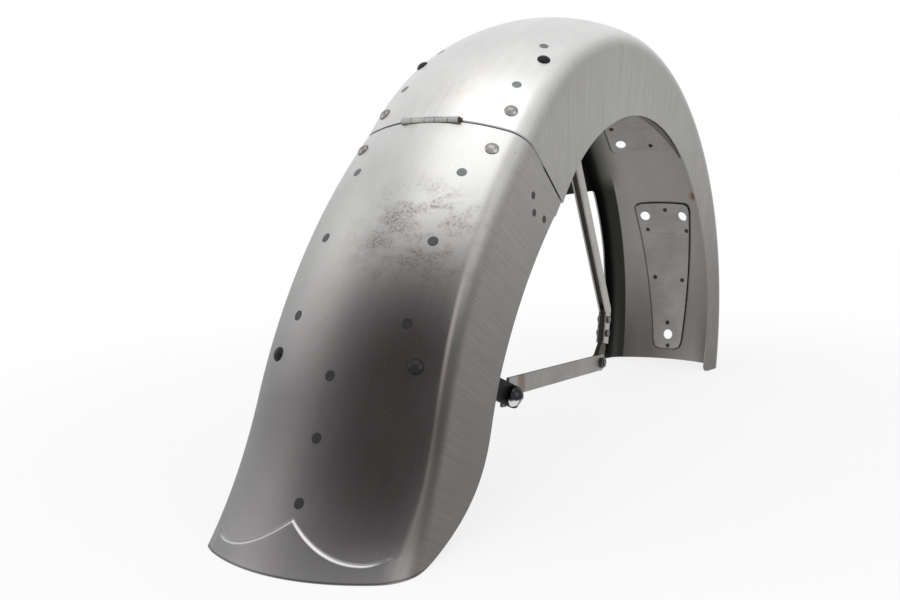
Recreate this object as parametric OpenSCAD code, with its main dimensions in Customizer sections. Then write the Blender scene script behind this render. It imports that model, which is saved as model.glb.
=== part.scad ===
// Hinged rear fender for a motorcycle with a sixteen inch wheel.
// Two pressed steel sections meet in a five knuckle hinge on the crown.
// X points forward, Y to the left and Z up; the fender stands on its two cut ends.

/* [Shell] */
// Outer radius of the crown about the wheel centre
crown_r = 365; // [340:1:400]
// Height of the wheel centre above the ends of the fender
wheel_h = 96; // [80:1:115]
// Half width of the front section at its lower end
front_half_w = 89; // [80:0.5:96]
// Half width at the seam
seam_half_w = 90; // [82:0.5:100]
// Half width of the tail section at its lower end
tail_half_w = 98; // [88:0.5:108]
// Thickness of the pressed sheet
sheet_t = 2; // [1.2:0.1:2.5]
// Radius of the crown across its width
crown_cross_r = 180; // [150:1:260]
// Outer corner radius between crown and walls
corner_r = 26; // [18:1:32]
// How far the front walls close in over lean_depth, at the lower end
mouth_lean = 22; // [0:1:26]

/* [Wheel opening] */
// Radius of the wheel opening in the walls
arch_r = 265; // [245:1:275]
// Centre of the wheel opening ahead of the wheel centre
arch_x = 32; // [20:1:40]
// Centre of the wheel opening below the wheel centre
arch_drop = 9; // [0:1:15]
// Greatest depth of the front walls towards the seam
front_skirt = 118; // [105:1:122]
// Top edge of the chain side opening above the ends
chain_open_h = 256; // [220:1:262]
// Front edge of the chain side opening ahead of the wheel centre
chain_open_x = 317; // [300:1:325]
// Corner radius of the chain side opening
chain_open_r = 46; // [20:1:60]

/* [Seam and hinge] */
// Angle of the seam above the forward horizontal
seam_a = 137.4; // [130:0.1:142]
// Gap between the two sections
seam_gap = 2.2; // [1.2:0.1:3]
// Outer radius of the hinge knuckles
knuckle_r = 3.3; // [3:0.1:5]
// Length of each of the three front knuckles
front_knuckle_l = 10.5; // [8:0.5:14]
// Length of each of the two tail knuckles
tail_knuckle_l = 13.5; // [11:0.5:18]
// Gap between neighbouring knuckles
knuckle_gap = 0.5; // [0.3:0.1:1]
// Radius of the hinge pin
pin_r = 1.6; // [1.2:0.1:2]
// Free radius around the pin in the tail knuckles
pin_play = 0.05; // [0.03:0.01:0.1]

/* [Tail] */
// Slope of the tail crown at the seam, below horizontal
tail_start_a = 39; // [36:0.5:46]
// Radius of the upper tail
tail_r = 554; // [480:1:700]
// Turn of the upper tail
tail_turn_a = 29; // [24:0.5:32]
// Radius of the flared lip
flare_r = 540; // [400:1:700]
// Depth of the tail walls at the seam
tail_skirt_top = 114; // [100:1:118]
// Depth of the tail walls at mid length
tail_skirt = 104; // [92:1:115]
// Depth of the tail walls at the lower end
tail_skirt_end = 47; // [35:1:70]
// Height of the rounded lower corner of the tail walls
tail_corner_h = 116; // [80:1:118]

/* [Rivets and holes] */
// Shank radius of the dome rivets
rivet_r = 3; // [2:0.1:3.5]
// Head radius of the dome rivets
rivet_head_r = 6.2; // [5:0.1:8]
// Head height of the dome rivets
rivet_head_h = 3.2; // [2:0.1:4]
// Place of the dome rivets in from the half width at the seam
rivet_inset = 21; // [20:0.5:28]
// Radius of the frame mounting holes in the inner plates
frame_hole_r = 7.2; // [4:0.1:8]
// How much wider the holes of the sheet over them are, in radius
sheet_hole_over = 0.6; // [0.2:0.1:1]
// Lateral place of the two upper mounting plate holes
plate_hole_y = 29.7; // [24:0.1:32]
// Lateral place of the holes in the upper plate
saddle_hole_y = 42.4; // [36:0.1:46]

/* [Straps] */
// Thickness of the seam straps and plates
strap_t = 2; // [1.5:0.1:3]
// Width of the seam straps
strap_w = 24; // [18:0.5:26]
// Gap left between nested sheets
lap_gap = 0.3; // [0.2:0.05:0.4]
// Width of the strap that carries the upper legs
hoop_w = 28; // [20:0.5:32]

/* [Braces] */
// Width of the upper leg channel, across the fender
leg_w = 9; // [8:0.5:12]
// Depth of the upper leg channel
leg_d = 12; // [10:0.5:14]
// Wall of the upper leg channel
leg_t = 1.8; // [1.5:0.1:2.2]
// Length of the upper leg from its hoop corner to its bend
leg_l = 246; // [225:1:252]
// Length of the upper leg below its bend
foot_l = 36; // [34:1:40]
// Thickness of the lower link
link_t = 3.5; // [3:0.1:4]
// Height of the lower link
link_h = 17; // [14:0.5:19]
// Radius of the bolts through the bracket tabs
bolt_r = 4; // [3:0.1:4.5]
// Radius of the pivot bolts
pivot_bolt_r = 3.2; // [2.5:0.1:4]
// Clearance around the link bolts in their slots
bolt_play = 0.5; // [0.4:0.05:0.7]
// Leg pivot behind the tip of the foot
eye_back = 16.3; // [12:0.1:20]
// Leg pivot below the tip of the foot
eye_drop = 17.9; // [14:0.1:20]
// Thickness of the black tail bracket
bracket_t = 3; // [2.5:0.1:3.5]
// Width of the black tail bracket
bracket_w = 20; // [17:0.5:22]

/* [Hidden] */
$fn = 64;

steel = [0.70, 0.70, 0.70];
plate_steel = [0.62, 0.62, 0.63];
rivet_steel = [0.50, 0.50, 0.52];
black_steel = [0.12, 0.12, 0.13];
bright_steel = [0.85, 0.85, 0.87];

// Mesh steps along and across the shells
front_steps = 46;
upper_steps = 22;
flare_steps = 12;
crown_steps = 10;
corner_steps = 5;
wheel = [0, wheel_h];
lean_depth = 80;
// How far the chain side wall may deepen for each degree ahead of the seam
chain_rise = 6;

// Points of the side profile, as [x, z], and directions below horizontal
function polar(a) = wheel + crown_r*[cos(a), sin(a)];
front_end_a = -asin(wheel_h/crown_r);
seam_p = polar(seam_a);
tail_mid_a = tail_start_a + tail_turn_a;
tail_c = seam_p + tail_r*[sin(tail_start_a), -cos(tail_start_a)];
function tail_arc(a) = tail_c + tail_r*[-sin(a), cos(a)];
flare_c = tail_arc(tail_mid_a) + flare_r*[-sin(tail_mid_a), cos(tail_mid_a)];
flare_top = tail_arc(tail_mid_a)[1];
function flare_at(z) = let (a = acos((flare_c[1] - z)/flare_r))
    [flare_c[0] + flare_r*sin(a), z, a];

// A station is [crown point, inward angle below horizontal, half width, right depth, left depth,
// wall slope]
function inward(g) = [cos(g), -sin(g)];
function mix(a, b, k) = a + (b - a)*k;

// Depth at which a ray from p along d enters the wheel opening circle
arch_c = wheel + [arch_x, -arch_drop];
function arch_depth(p, d) = let (q = p - arch_c, b = q*d)
    -b - sqrt(b*b - (q*q - arch_r*arch_r));
// The smaller of two values, with a rounded change from one to the other
soft_width = 6;
function soft_min(a, b) = (a + b - sqrt((a - b)*(a - b) + soft_width*soft_width))/2;

// The same for the chain side opening, a square corner rounded by chain_open_r
function chain_depth(p, d) = let (
    flat = (p[1] - chain_open_h)/max(-d[1], 0.0001),
    front = d[0] < 0 ? (p[0] - chain_open_x)/-d[0] : 0,
    e = max(flat, front, 0),
    hit = p + e*d,
    c = [chain_open_x - chain_open_r, chain_open_h - chain_open_r],
    q = p - c,
    b = q*d,
    in_corner = hit[0] > c[0] && hit[1] > c[1])
    in_corner ? -b - sqrt(b*b - (q*q - chain_open_r*chain_open_r)) : p[1] < c[1] ? front : e;

function front_station(a) = let (
    k = (a - front_end_a)/(seam_a - front_end_a),
    p = polar(a),
    g = 180 - max(a, 0),
    d = [cos(g), -sin(g)],
    chain_limit = front_skirt + chain_rise*(seam_a - a))
    [p, g, mix(front_half_w, seam_half_w, k), soft_min(arch_depth(p, d), front_skirt),
        soft_min(chain_depth(p, d), chain_limit), mouth_lean/lean_depth*(1 - k)];

// Below blend_h the section turns level, to end flat on the ground
blend_h = 120;
function tail_depth(z, k) = let (e = mix(tail_skirt_top, tail_skirt, min(1, 2*k)))
    z > tail_corner_h ? e
    : tail_skirt_end + (e - tail_skirt_end)*sqrt(1 - pow(1 - z/tail_corner_h, 2));
function tail_station(p, a) = let (
    k = (seam_p[1] - p[1])/seam_p[1],
    g = (90 - a)*min(1, p[1]/blend_h),
    e = tail_depth(p[1], k))
    [p, g, mix(seam_half_w, tail_half_w, k), e, e, 0];

half_gap_a = seam_gap/2/crown_r*180/PI;
front_stations = [for (i = [0:front_steps])
    front_station(mix(front_end_a, seam_a - half_gap_a, i/front_steps))];
tail_gap_a = seam_gap/2/tail_r*180/PI;
seam_lean_a = 180 - seam_a;
// The first tail stations turn from the seam plane to square with the tail
function tail_turn(st, k) = [st[0], mix(seam_lean_a, st[1], min(1, k)), st[2], st[3], st[4], st[5]];
tail_stations = concat(
    [for (i = [0:upper_steps]) let (a = mix(tail_start_a + tail_gap_a, tail_mid_a, i/upper_steps))
        tail_turn(tail_station(tail_arc(a), a), i/upper_steps*2)],
    [for (i = [1:flare_steps]) let (f = flare_at(flare_top*(1 - sin(90*i/flare_steps))))
        tail_station([f[0], max(f[1], 0)], f[2])]);

// Half of the section from crown to wall, at an inset from the outer surface, as [depth, side]
function half_section(w, slope, e, inset) = let (
    cr = crown_cross_r - inset,
    fr = corner_r - inset,
    side = w - corner_r,
    reach = crown_cross_r - corner_r,
    fa = asin(side/reach),
    fd = crown_cross_r - reach*cos(fa))
    concat(
        [for (i = [1:crown_steps]) let (a = fa*i/crown_steps)
            [crown_cross_r - cr*cos(a), cr*sin(a)]],
        [for (i = [1:corner_steps]) let (a = mix(fa, 90, i/corner_steps))
            [fd - fr*cos(a), side + fr*sin(a)]],
        [[max(e, fd + 1), w - inset - slope*max(e - fd, 1)]]);

// Where the corner ends and the wall begins, and the lateral place of the wall at a depth
function fillet_depth(w) = let (reach = crown_cross_r - corner_r, side = w - corner_r)
    crown_cross_r - sqrt(reach*reach - side*side);
function wall_inner(st, depth, inset) = st[2] - inset - st[5]*(depth - fillet_depth(st[2]));

function flip(list) = [for (i = [len(list) - 1:-1:0]) list[i]];
function mirrored(list) = [for (p = list) [p[0], -p[1]]];

// Closed ring of a station between two insets from the outer surface
function ring_2d(st, from, to) = concat(
    flip(mirrored(half_section(st[2], st[5], st[3], from))),
    [[from, 0]],
    half_section(st[2], st[5], st[4], from),
    flip(half_section(st[2], st[5], st[4], to)),
    [[to, 0]],
    mirrored(half_section(st[2], st[5], st[3], to)));

function to_3d(st, pts) = let (d = inward(st[1]))
    [for (p = pts) [st[0][0] + p[0]*d[0], p[1], st[0][1] + p[0]*d[1]]];

// The two triangles of a four sided face
function halves_of(q) = [[q[0], q[1], q[2]], [q[0], q[2], q[3]]];

// Skin over a list of equal rings, whose second half runs back inside the first
module loft(rings) {
    n = len(rings[0]);
    m = len(rings);
    caps = [for (i = [0:n/2 - 2], c = halves_of([i, i + 1, n - 2 - i, n - 1 - i])) c];
    sides = [for (j = [0:m - 2], i = [0:n - 1], c = halves_of(
        [j*n + i, (j + 1)*n + i, (j + 1)*n + (i + 1) % n, j*n + (i + 1) % n])) c];
    polyhedron(
        points = [for (r = rings) for (p = r) p],
        faces = concat(sides, caps, [for (c = caps) [for (k = [2:-1:0]) (m - 1)*n + c[k]]]),
        convexity = 10);
}

// A strip of the section between two insets, over the whole girth
module sheet_loft(stations, from, to) {
    loft([for (st = stations) to_3d(st, ring_2d(st, from, to))]);
}

// A patch on the crown only, half as wide as given at each station
patch_steps = 6;
function patch_2d(half, from, to) = let (
    outer = crown_cross_r - from,
    inner = crown_cross_r - to,
    a = asin(half/crown_cross_r))
    concat(
        [for (i = [-patch_steps:patch_steps]) let (b = a*i/patch_steps)
            [crown_cross_r - outer*cos(b), outer*sin(b)]],
        [for (i = [patch_steps:-1:-patch_steps]) let (b = a*i/patch_steps)
            [crown_cross_r - inner*cos(b), inner*sin(b)]]);
module patch_loft(stations, halves, from, to) {
    loft([for (i = [0:len(stations) - 1])
        to_3d(stations[i], patch_2d(halves[i], from, to))]);
}

// The whole part is centred over its footprint
tail_x = flare_at(0)[0];
mid_x = (crown_r + tail_x)/2;
module placed() {
    translate([-mid_x, 0, 0]) children();
}

// Frame at a side profile point: local X runs inward, local Y stays lateral
module at_profile(p, g) {
    translate([p[0], 0, p[1]]) rotate([0, g, 0]) children();
}

// Frame on the crown at an angle and a lateral place, local Z pointing out of the surface
module on_crown(p, g, y, from) {
    a = asin(y/crown_cross_r);
    at_profile(p, g)
        translate([crown_cross_r, 0, 0])
            rotate([0, 0, -a])
                translate([-(crown_cross_r - from), 0, 0])
                    rotate([0, -90, 0])
                        children();
}

// Cutters through the shells reach as far out as in
cut_l = 40;
module cutter(r) {
    cylinder(h = cut_l, r = r, center = true);
}

// Places of the dome rivets on the crown
rivet_y = seam_half_w - rivet_inset;
rivet_fit = 0.1;
hoop_a = 119.8;
front_rivet_t = 24;
front_rivet_a = seam_a - front_rivet_t/crown_r*180/PI;
tail_rivet_t = 25;
bracket_z = 153;
hoop_g = 65.8;
tail_rivet_a = tail_start_a + tail_rivet_t/tail_r*180/PI;
bracket_slope = acos((bracket_z - tail_c[1])/tail_r);
bracket_p = tail_arc(bracket_slope);
bracket_g = 22.4;
front_rivet_spots = [[polar(hoop_a), hoop_g], [polar(front_rivet_a), 180 - front_rivet_a]];
tail_rivet_spots = [[tail_arc(tail_rivet_a), 90 - tail_rivet_a], [bracket_p, bracket_g]];

module at_rivets(spots) {
    for (s = spots, side = [-1, 1])
        on_crown(s[0], s[1], side*rivet_y, 0) children();
}

module rivet_holes(spots) {
    at_rivets(spots) cutter(rivet_r + rivet_fit);
}

// Dome head outside, shank through the sheet and the strap, formed head inside
formed_head_h = 1.8;
formed_head_r = rivet_r + 1.6;
// The hoop leans from the rivet axis, so the formed heads stand this far off
formed_head_gap = 0.25;
function dome_radius(r, h) = (r*r + h*h)/(2*h);
module dome(r, h) {
    intersection() {
        translate([0, 0, h - dome_radius(r, h)]) sphere(r = dome_radius(r, h));
        cylinder(h = h + 1, r = r);
    }
}
module dome_rivet(grip) {
    foot = grip + lap_gap + formed_head_gap + formed_head_h;
    translate([0, 0, lap_gap]) dome(rivet_head_r, rivet_head_h);
    translate([0, 0, -foot]) cylinder(h = foot + lap_gap, r = rivet_r);
    translate([0, 0, -foot]) cylinder(h = formed_head_h, r = formed_head_r);
}

// Hinge pin centre, sunk a little into the notch in the crown at the seam
hinge_sink = 1;
seam_g = 180 - seam_a;
hinge_p = seam_p + hinge_sink*inward(seam_g);
hinge_l = 3*front_knuckle_l + 2*tail_knuckle_l + 4*knuckle_gap;
notch_clear = 0.8;
notch_end_clear = 1.4;
notch_half = hinge_l/2 + notch_end_clear;
notch_t = knuckle_r + notch_clear;
notch_out = 10;
notch_in = 12;

module hinge_notch() {
    at_profile(seam_p, seam_g)
        translate([-notch_out, -notch_half, -notch_t])
            cube([notch_out + notch_in, 2*notch_half, 2*notch_t]);
}

module hole_pair(p, g, y, r) {
    for (side = [-1, 1])
        on_crown(p, g, side*y, 0) cutter(r);
}

plate_hole_a = 19.7;
plate_low_hole_a = -9.4;
saddle_hole_a = 39.3;
module frame_holes(r) {
    hole_pair(polar(plate_hole_a), 180 - plate_hole_a, plate_hole_y, r);
    hole_pair(polar(saddle_hole_a), 180 - saddle_hole_a, saddle_hole_y, r);
    on_crown(polar(plate_low_hole_a), 180 - plate_low_hole_a, 0, 0) cutter(r);
}

module front_section() {
    color(steel)
        placed()
            difference() {
                sheet_loft(front_stations, 0, sheet_t);
                rivet_holes(front_rivet_spots);
                hinge_notch();
                frame_holes(frame_hole_r + sheet_hole_over);
            }
}

module tail_section() {
    color(steel)
        placed()
            difference() {
                sheet_loft(tail_stations, 0, sheet_t);
                rivet_holes(tail_rivet_spots);
                hinge_notch();
            }
}

// Straps lie one lap gap inside the shell
strap_from = sheet_t + lap_gap;
strap_to = strap_from + strap_t;

// Copy of a station with its own wall depth and inward angle
function with_depth(st, e, g) = [st[0], g, st[2], e, e, st[5]];
function arc_deg(l) = l/crown_r*180/PI;

strap_depth = 92;
front_strap_inner = arc_deg(front_rivet_t - strap_w/2);
front_strap_outer = arc_deg(front_rivet_t + strap_w/2);
module front_seam_strap() {
    color(plate_steel)
        placed()
            difference() {
                sheet_loft([for (k = [0, 0.5, 1])
                    let (a = seam_a - mix(front_strap_outer, front_strap_inner, k), st = front_station(a))
                    with_depth(st, strap_depth, st[1])], strap_from, strap_to);
                rivet_holes(front_rivet_spots);
            }
}

tail_strap_depth = 62;
module tail_seam_strap() {
    color(plate_steel)
        placed()
            difference() {
                sheet_loft([for (k = [-1, 0, 1])
                    let (a = tail_rivet_a + k*strap_w/2/tail_r*180/PI, st = tail_station(tail_arc(a), a))
                    with_depth(st, tail_strap_depth, 90 - tail_rivet_a)], strap_from, strap_to);
                rivet_holes(tail_rivet_spots);
            }
}

hoop_depth = 100;
module brace_hoop() {
    color(plate_steel)
        placed()
            difference() {
                sheet_loft([for (k = [-1, 0, 1])
                    let (a = hoop_a + k*arc_deg(hoop_w/2), st = front_station(a))
                    with_depth(st, hoop_depth, hoop_g)], strap_from, strap_to);
                rivet_holes(front_rivet_spots);
            }
}

// Lateral places of the brace parts, from the leg outwards
hoop_st = front_station(hoop_a);
leg_out = wall_inner(hoop_st, hoop_depth, strap_to) - lap_gap;
leg_in = leg_out - leg_w;
end_clear = 0.2;
eye_out = leg_out - leg_t - end_clear;
eye_in = leg_in + leg_t + end_clear;
link_in = eye_out + lap_gap;
link_out = link_in + link_t;
tab_in = link_out + lap_gap;
tab_out = tab_in + bracket_t;
leg_top_depth = 52;

// Plate drawn in the X-Z plane, from y_in to y_out on the given side
module side_plate(side, y_in, y_out) {
    translate([0, side > 0 ? y_out : -y_in, 0])
        rotate([90, 0, 0])
            linear_extrude(height = y_out - y_in) children();
}

// Cylinder across the fender at a profile point, on the given side
module cross_pin(p, side, y_in, y_out, r) {
    side_plate(side, y_in, y_out) translate(p) circle(r = r);
}

// Hexagon across the fender at a profile point
module cross_hex(p, side, y_in, y_out, flats) {
    side_plate(side, y_in, y_out) translate(p) circle(r = flats/2/cos(30), $fn = 6);
}

// Flat shape of a bar from a to b, from back to front of its centre line
module bar_2d(a, b, back, front) {
    v = b - a;
    translate(a)
        rotate(atan2(v[1], v[0]))
            translate([0, -back])
                square([norm(v), back + front]);
}

// Upper leg: a channel with its web forward and its open side to the rear, bent above its foot
hoop_p = polar(hoop_a);
leg_dir = inward(hoop_g);
foot_g = 103.6;
foot_dir = inward(foot_g);
leg_top = hoop_p + leg_top_depth*leg_dir;
leg_bend = leg_top + leg_l*leg_dir;
leg_tip = leg_bend + foot_l*foot_dir;
module leg_shape(back, front) {
    bar_2d(leg_top, leg_bend, back, front);
    bar_2d(leg_bend, leg_tip, back, front);
    translate(leg_bend) circle(r = front);
}
module upper_leg(side) {
    color(plate_steel)
        placed()
            difference() {
                side_plate(side, leg_in, leg_out) leg_shape(leg_d/2, leg_d/2);
                side_plate(side, leg_in + leg_t, leg_out - leg_t)
                    leg_shape(leg_d, leg_d/2 - leg_t);
                leg_rivet_bores(side);
            }
}
module upper_leg_left() { upper_leg(1); }
module upper_leg_right() { upper_leg(-1); }

// Two cross rivets hold the end piece inside the foot of the leg
leg_rivet_r = 2.2;
leg_rivet_head_r = 4;
leg_rivet_head_h = 2.2;
leg_rivet_places = [10, 25];
leg_rivet_past = 1;
bore_past = 5;
function foot_point(l) = leg_bend + l*foot_dir;
module leg_rivet_bores(side) {
    for (l = leg_rivet_places)
        cross_pin(foot_point(l), side, leg_in - bore_past, leg_out + bore_past, leg_rivet_r);
}
module leg_rivets() {
    color(rivet_steel)
        placed()
            for (side = [-1, 1], l = leg_rivet_places) {
                p = foot_point(l);
                cross_pin(p, side, leg_in - leg_rivet_past, leg_out + leg_rivet_past, leg_rivet_r);
                cross_pin(p, side, leg_out, leg_out + leg_rivet_head_h, leg_rivet_head_r);
                cross_pin(p, side, leg_in - leg_rivet_head_h, leg_in, leg_rivet_head_r);
            }
}

// Leg end: a flat piece inside the channel that turns back to an eye for the pivot bolt
pivot_p = leg_tip - [eye_back, eye_drop];
end_back = 6.5;
end_front = leg_d/2 - leg_t - end_clear;
end_inset = 3;
end_past = 2;
end_top = foot_point(end_inset);
end_turn = foot_point(foot_l + end_past);
eye_r = 8.5;
module leg_end(side) {
    color(black_steel)
        placed()
            difference() {
                side_plate(side, eye_in, eye_out) {
                    bar_2d(end_top, end_turn, end_back, end_front);
                    bar_2d(end_turn, pivot_p, end_back, end_back);
                    translate(end_turn) circle(r = end_front);
                    translate(pivot_p) circle(r = eye_r);
                }
                cross_pin(pivot_p, side, eye_in - bore_past, eye_out + bore_past, pivot_bolt_r);
                leg_rivet_bores(side);
            }
}
module leg_end_left() { leg_end(1); }
module leg_end_right() { leg_end(-1); }

// Lower link: a flat bar, round at the leg, whose tail end drops to an open slot
tab_l = 143;
tab_p = bracket_p + tab_l*inward(bracket_g);
link_drop = 7.5;
link_rise = [0, link_drop];
link_eye_over = 0.5;
slot_end = 11;
slot_root = 12;
// The slot points along the path of the bolt as the tail swings open
swing_arm = tab_p - hinge_p;
slot_swing = 1.7;
slot_a = atan2(swing_arm[1], swing_arm[0]) - 90 - slot_swing;
slot_dir = [cos(slot_a), sin(slot_a)];
slot_half = bolt_r + bolt_play;
// The round end of the slot is relieved a little past its flanks
slot_end_r = slot_half + 0.1;
eye_end_r = 9.5;
module lower_link(side) {
    color(plate_steel)
        placed()
            difference() {
                side_plate(side, link_in, link_out) {
                    translate(pivot_p) circle(r = link_h/2 + link_eye_over);
                    bar_2d(pivot_p, tab_p + link_rise, link_h/2, link_h/2);
                    bar_2d(tab_p - slot_root*slot_dir, tab_p + slot_end*slot_dir, eye_end_r, eye_end_r);
                }
                cross_pin(pivot_p, side, link_in - bore_past, link_out + bore_past, pivot_bolt_r);
                cross_pin(tab_p, side, link_in - bore_past, link_out + bore_past, slot_end_r);
                side_plate(side, link_in - bore_past, link_out + bore_past)
                    bar_2d(tab_p, tab_p + 2*slot_end*slot_dir, slot_half, slot_half);
            }
}
module lower_link_left() { lower_link(1); }
module lower_link_right() { lower_link(-1); }

// Black bracket: a hoop inside the tail whose two tabs carry the links
bracket_half_w = mix(seam_half_w, tail_half_w, (seam_p[1] - bracket_p[1])/seam_p[1]);
bracket_depth = 100;
bracket_lean = (bracket_half_w - strap_from - tab_out)/(bracket_depth - fillet_depth(bracket_half_w));
tab_end_r = bracket_w/2;
tab_lap = 6;
tab_lift = 3;
tab_past_bolt = 6;
tab_heel = bracket_p + (bracket_depth - tab_lap)*inward(bracket_g) + [0, tab_lift];
tab_dir = (tab_p - tab_heel)/norm(tab_p - tab_heel);
tab_end = tab_p + tab_past_bolt*tab_dir;
module tail_bracket() {
    color(black_steel)
        placed()
            difference() {
                union() {
                    sheet_loft([for (k = [-1, 0, 1])
                        let (a = bracket_slope + k*bracket_w/2/tail_r*180/PI,
                            st = tail_station(tail_arc(a), a))
                        [st[0], bracket_g, bracket_half_w, bracket_depth, bracket_depth, bracket_lean]],
                        strap_from, strap_from + bracket_t);
                    for (side = [-1, 1])
                        side_plate(side, tab_in, tab_out) {
                            bar_2d(tab_heel, tab_end, tab_end_r, tab_end_r);
                            translate(tab_heel) circle(r = tab_end_r);
                            translate(tab_end) circle(r = tab_end_r);
                        }
                }
                rivet_holes(tail_rivet_spots);
                for (side = [-1, 1])
                    cross_pin(tab_p, side, tab_in - bore_past, tab_out + bore_past, bolt_r);
            }
}

// Polished dome bolts through the tabs, with nuts behind the links
dome_r = 9.2;
dome_h = 7.5;
link_nut_t = 6;
nut_flats = 13;
thread_past = 2;
nut_in = link_in - lap_gap - link_nut_t;
module link_bolts() {
    color(bright_steel)
        placed()
            for (side = [-1, 1]) {
                cross_pin(tab_p, side, nut_in - thread_past, tab_out, bolt_r);
                translate([tab_p[0], side*tab_out, tab_p[1]])
                    rotate([side > 0 ? -90 : 90, 0, 0])
                        dome(dome_r, dome_h);
            }
}
module link_nuts() {
    color(rivet_steel)
        placed()
            for (side = [-1, 1])
                difference() {
                    cross_hex(tab_p, side, nut_in, nut_in + link_nut_t, nut_flats);
                    cross_pin(tab_p, side, nut_in - bore_past, link_in, bolt_r);
                }
}

// Pivot bolts through the leg ends and links, head inside and nut outside
pivot_nut_t = 3.5;
pivot_head_t = 4;
pivot_flats = 10.5;
pivot_past = 1;
bolt_end = link_out + pivot_nut_t + pivot_past;
module pivot_bolts() {
    color(rivet_steel)
        placed()
            for (side = [-1, 1]) {
                cross_pin(pivot_p, side, eye_in - pivot_head_t, bolt_end, pivot_bolt_r);
                cross_hex(pivot_p, side, eye_in - pivot_head_t, eye_in, pivot_flats);
            }
}
module pivot_nuts() {
    color(rivet_steel)
        placed()
            for (side = [-1, 1])
                difference() {
                    cross_hex(pivot_p, side, link_out, link_out + pivot_nut_t, pivot_flats);
                    cross_pin(pivot_p, side, link_in, link_out + pivot_nut_t + bore_past, pivot_bolt_r);
                }
}

// Curved plates inside the crown, with rounded corners
plate_t = 2.5;
plate_corner = 9;
plate_low_a = -12.8;
plate_high_a = 22.9;
plate_low_half = 21;
plate_high_half = 43;
saddle_low_a = 37.2;
saddle_high_a = 52;
saddle_half = 57;
plate_cuts = 7;
// Angles that crowd towards both ends, where the corners turn
function crowd(k) = (1 - cos(180*k))/2;
function corner_loss(l) = let (q = 1 - min(1, l/plate_corner))
    plate_corner*(1 - sqrt(1 - q*q));
function plate_half(a, a0, a1, h0, h1) = let (
    edge = min(a - a0, a1 - a)*PI/180*crown_r)
    mix(h0, h1, (a - a0)/(a1 - a0)) - corner_loss(max(edge, 0));
module crown_plate(a0, a1, h0, h1) {
    angles = [for (i = [0:2*plate_cuts]) mix(a0, a1, crowd(i/(2*plate_cuts)))];
    patch_loft(
        [for (a = angles) let (st = front_station(a)) with_depth(st, strap_depth, 180 - a)],
        [for (a = angles) plate_half(a, a0, a1, h0, h1)],
        strap_from, strap_from + plate_t);
}
module mounting_plate() {
    color(plate_steel)
        placed()
            difference() {
                crown_plate(plate_low_a, plate_high_a, plate_low_half, plate_high_half);
                frame_holes(frame_hole_r);
            }
}
module saddle_plate() {
    color(plate_steel)
        placed()
            difference() {
                crown_plate(saddle_low_a, saddle_high_a, saddle_half, saddle_half);
                frame_holes(frame_hole_r);
            }
}

// Tongues inside the tail walls that overlap the front walls across the seam. Their toes show
// below the edge of the tail walls.
tongue_top = 70;
tongue_end = 117.7;
tongue_heel = 96;
tongue_back = 42;
tongue_toe = 15;
tongue_front = 8;
module side_tongues() {
    y_out = seam_half_w - strap_from - lap_gap;
    color(plate_steel)
        placed()
            for (side = [-1, 1])
                side_plate(side, y_out - strap_t, y_out)
                    translate(seam_p)
                        rotate(-seam_g)
                            polygon([
                                [tongue_top, -tongue_back], [tongue_heel, -tongue_back],
                                [tongue_end, -tongue_toe], [tongue_end, tongue_front],
                                [tongue_top, tongue_front]]);
}

// Curved strip inside the right wall, along the edge of the wheel opening
doubler_low_a = 48;
doubler_high_a = 82;
doubler_w = 18;
doubler_show = 5;
doubler_steps = 14;
// It shows most at its middle, and ends flush with the edge of the wall
function doubler_ring(st, k) = let (
    deep = st[3] + doubler_show*sin(180*k),
    top = st[3] - doubler_w,
    out = strap_from,
    in = strap_to)
    [[deep, -wall_inner(st, deep, out)], [top, -wall_inner(st, top, out)],
        [top, -wall_inner(st, top, in)], [deep, -wall_inner(st, deep, in)]];
module arch_doubler() {
    color(plate_steel)
        placed()
            loft([for (i = [0:doubler_steps])
                let (k = i/doubler_steps, st = front_station(mix(doubler_low_a, doubler_high_a, k)))
                to_3d(st, doubler_ring(st, k))]);
}

// Hinge: leaves under the seam straps, webs up through the notch, and knuckles
leaf_from = strap_to + lap_gap;
leaf_to = leaf_from + strap_t;
leaf_l = 30;
web_gap = 1.2;
web_t = 1.8;
web_sink = 0.5;
leaf_half = hinge_l/2;
knuckle_pitch = front_knuckle_l + tail_knuckle_l + 2*knuckle_gap;
front_knuckles = [for (i = [-1:1]) i*knuckle_pitch];
tail_knuckles = [for (i = [-0.5, 0.5]) i*knuckle_pitch];

// How far the crown has dropped at a lateral place
function crown_sag(y) = crown_cross_r - sqrt(crown_cross_r*crown_cross_r - y*y);

// dir is 1 for the front leaf and -1 for the tail leaf
module knuckles(places, l, bore, dir) {
    at_profile(seam_p, seam_g)
        for (y = places)
            difference() {
                union() {
                    translate([hinge_sink, y, 0])
                        rotate([90, 0, 0]) cylinder(h = l, r = knuckle_r, center = true);
                    translate([hinge_sink, y - l/2, dir > 0 ? web_gap : -web_gap - web_t])
                        cube([leaf_from - hinge_sink + crown_sag(abs(y) + l/2) + web_sink, l, web_t]);
                }
                translate([hinge_sink, y, 0])
                    rotate([90, 0, 0]) cylinder(h = l + 2, r = bore, center = true);
            }
}
leaf_cuts = 4;
module hinge_front_leaf() {
    color(rivet_steel)
        placed() {
            patch_loft(
                [for (i = [leaf_cuts:-1:0])
                    let (a = seam_a - arc_deg(web_gap + leaf_l*i/leaf_cuts), st = front_station(a))
                    with_depth(st, strap_depth, 180 - a)],
                [for (i = [0:leaf_cuts]) leaf_half], leaf_from, leaf_to);
            knuckles(front_knuckles, front_knuckle_l, pin_r, 1);
        }
}
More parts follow.
